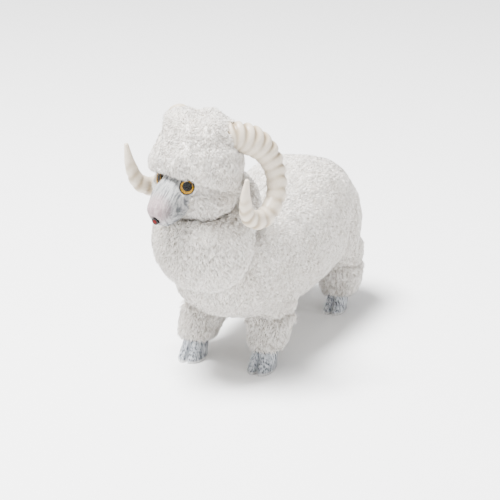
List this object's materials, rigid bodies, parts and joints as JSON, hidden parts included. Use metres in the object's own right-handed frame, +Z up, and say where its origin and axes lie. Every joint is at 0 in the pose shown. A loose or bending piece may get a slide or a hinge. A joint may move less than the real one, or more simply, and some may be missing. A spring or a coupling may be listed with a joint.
{
  "type": "ram_figurine",
  "caption": "Standing white ram ornament with a curled-horn head, fabric pile over a hard moulded body, and cloven hooves with flat soles",
  "frame": {"origin": "middle of the bounding box, on the surface the hooves stand on", "axes": "-Y is the way the body faces, +X is the ram's own left side, +Z is up"},
  "size_m": [0.126, 0.283, 0.2219],
  "materials": {
    "white_pile": "matte",
    "face_pile": "matte",
    "moulded_core": "matte",
    "dowel_wood": "satin",
    "hoof_paint": "satin",
    "horn_plastic": "satin",
    "eye_black": "gloss",
    "eye_amber": "gloss",
    "eye_clear": "gloss",
    "mouth_red": "gloss"
  },
  "bodies": {
    "root": {"chest_cover": "white_pile", "belly_cover": "white_pile", "rump_cover": "white_pile", "flank_cover_left": "white_pile", "flank_cover_right": "white_pile", "ruff_cover": "white_pile", "cheek_cover_left": "white_pile", "cheek_cover_right": "white_pile", "poll_cover": "white_pile", "tail_cover": "white_pile", "front_left_leg_sleeve": "white_pile", "front_right_leg_sleeve": "white_pile", "rear_left_leg_sleeve": "white_pile", "rear_right_leg_sleeve": "white_pile", "face_cover": "face_pile", "body_core_left": "moulded_core", "body_core_right": "moulded_core", "head_core": "moulded_core", "front_left_leg_core": "moulded_core", "front_right_leg_core": "moulded_core", "rear_left_leg_core": "moulded_core", "rear_right_leg_core": "moulded_core", "neck_dowel": "dowel_wood", "front_left_hoof": "hoof_paint", "front_right_hoof": "hoof_paint", "rear_left_hoof": "hoof_paint", "rear_right_hoof": "hoof_paint", "horn_left": "horn_plastic", "eye_cup_left": "eye_black", "eye_iris_left": "eye_amber", "eye_dome_left": "eye_clear", "horn_right": "horn_plastic", "eye_cup_right": "eye_black", "eye_iris_right": "eye_amber", "eye_dome_right": "eye_clear", "mouth_rim": "eye_black", "mouth_inlay": "mouth_red"}
  },
  "joints": []
}
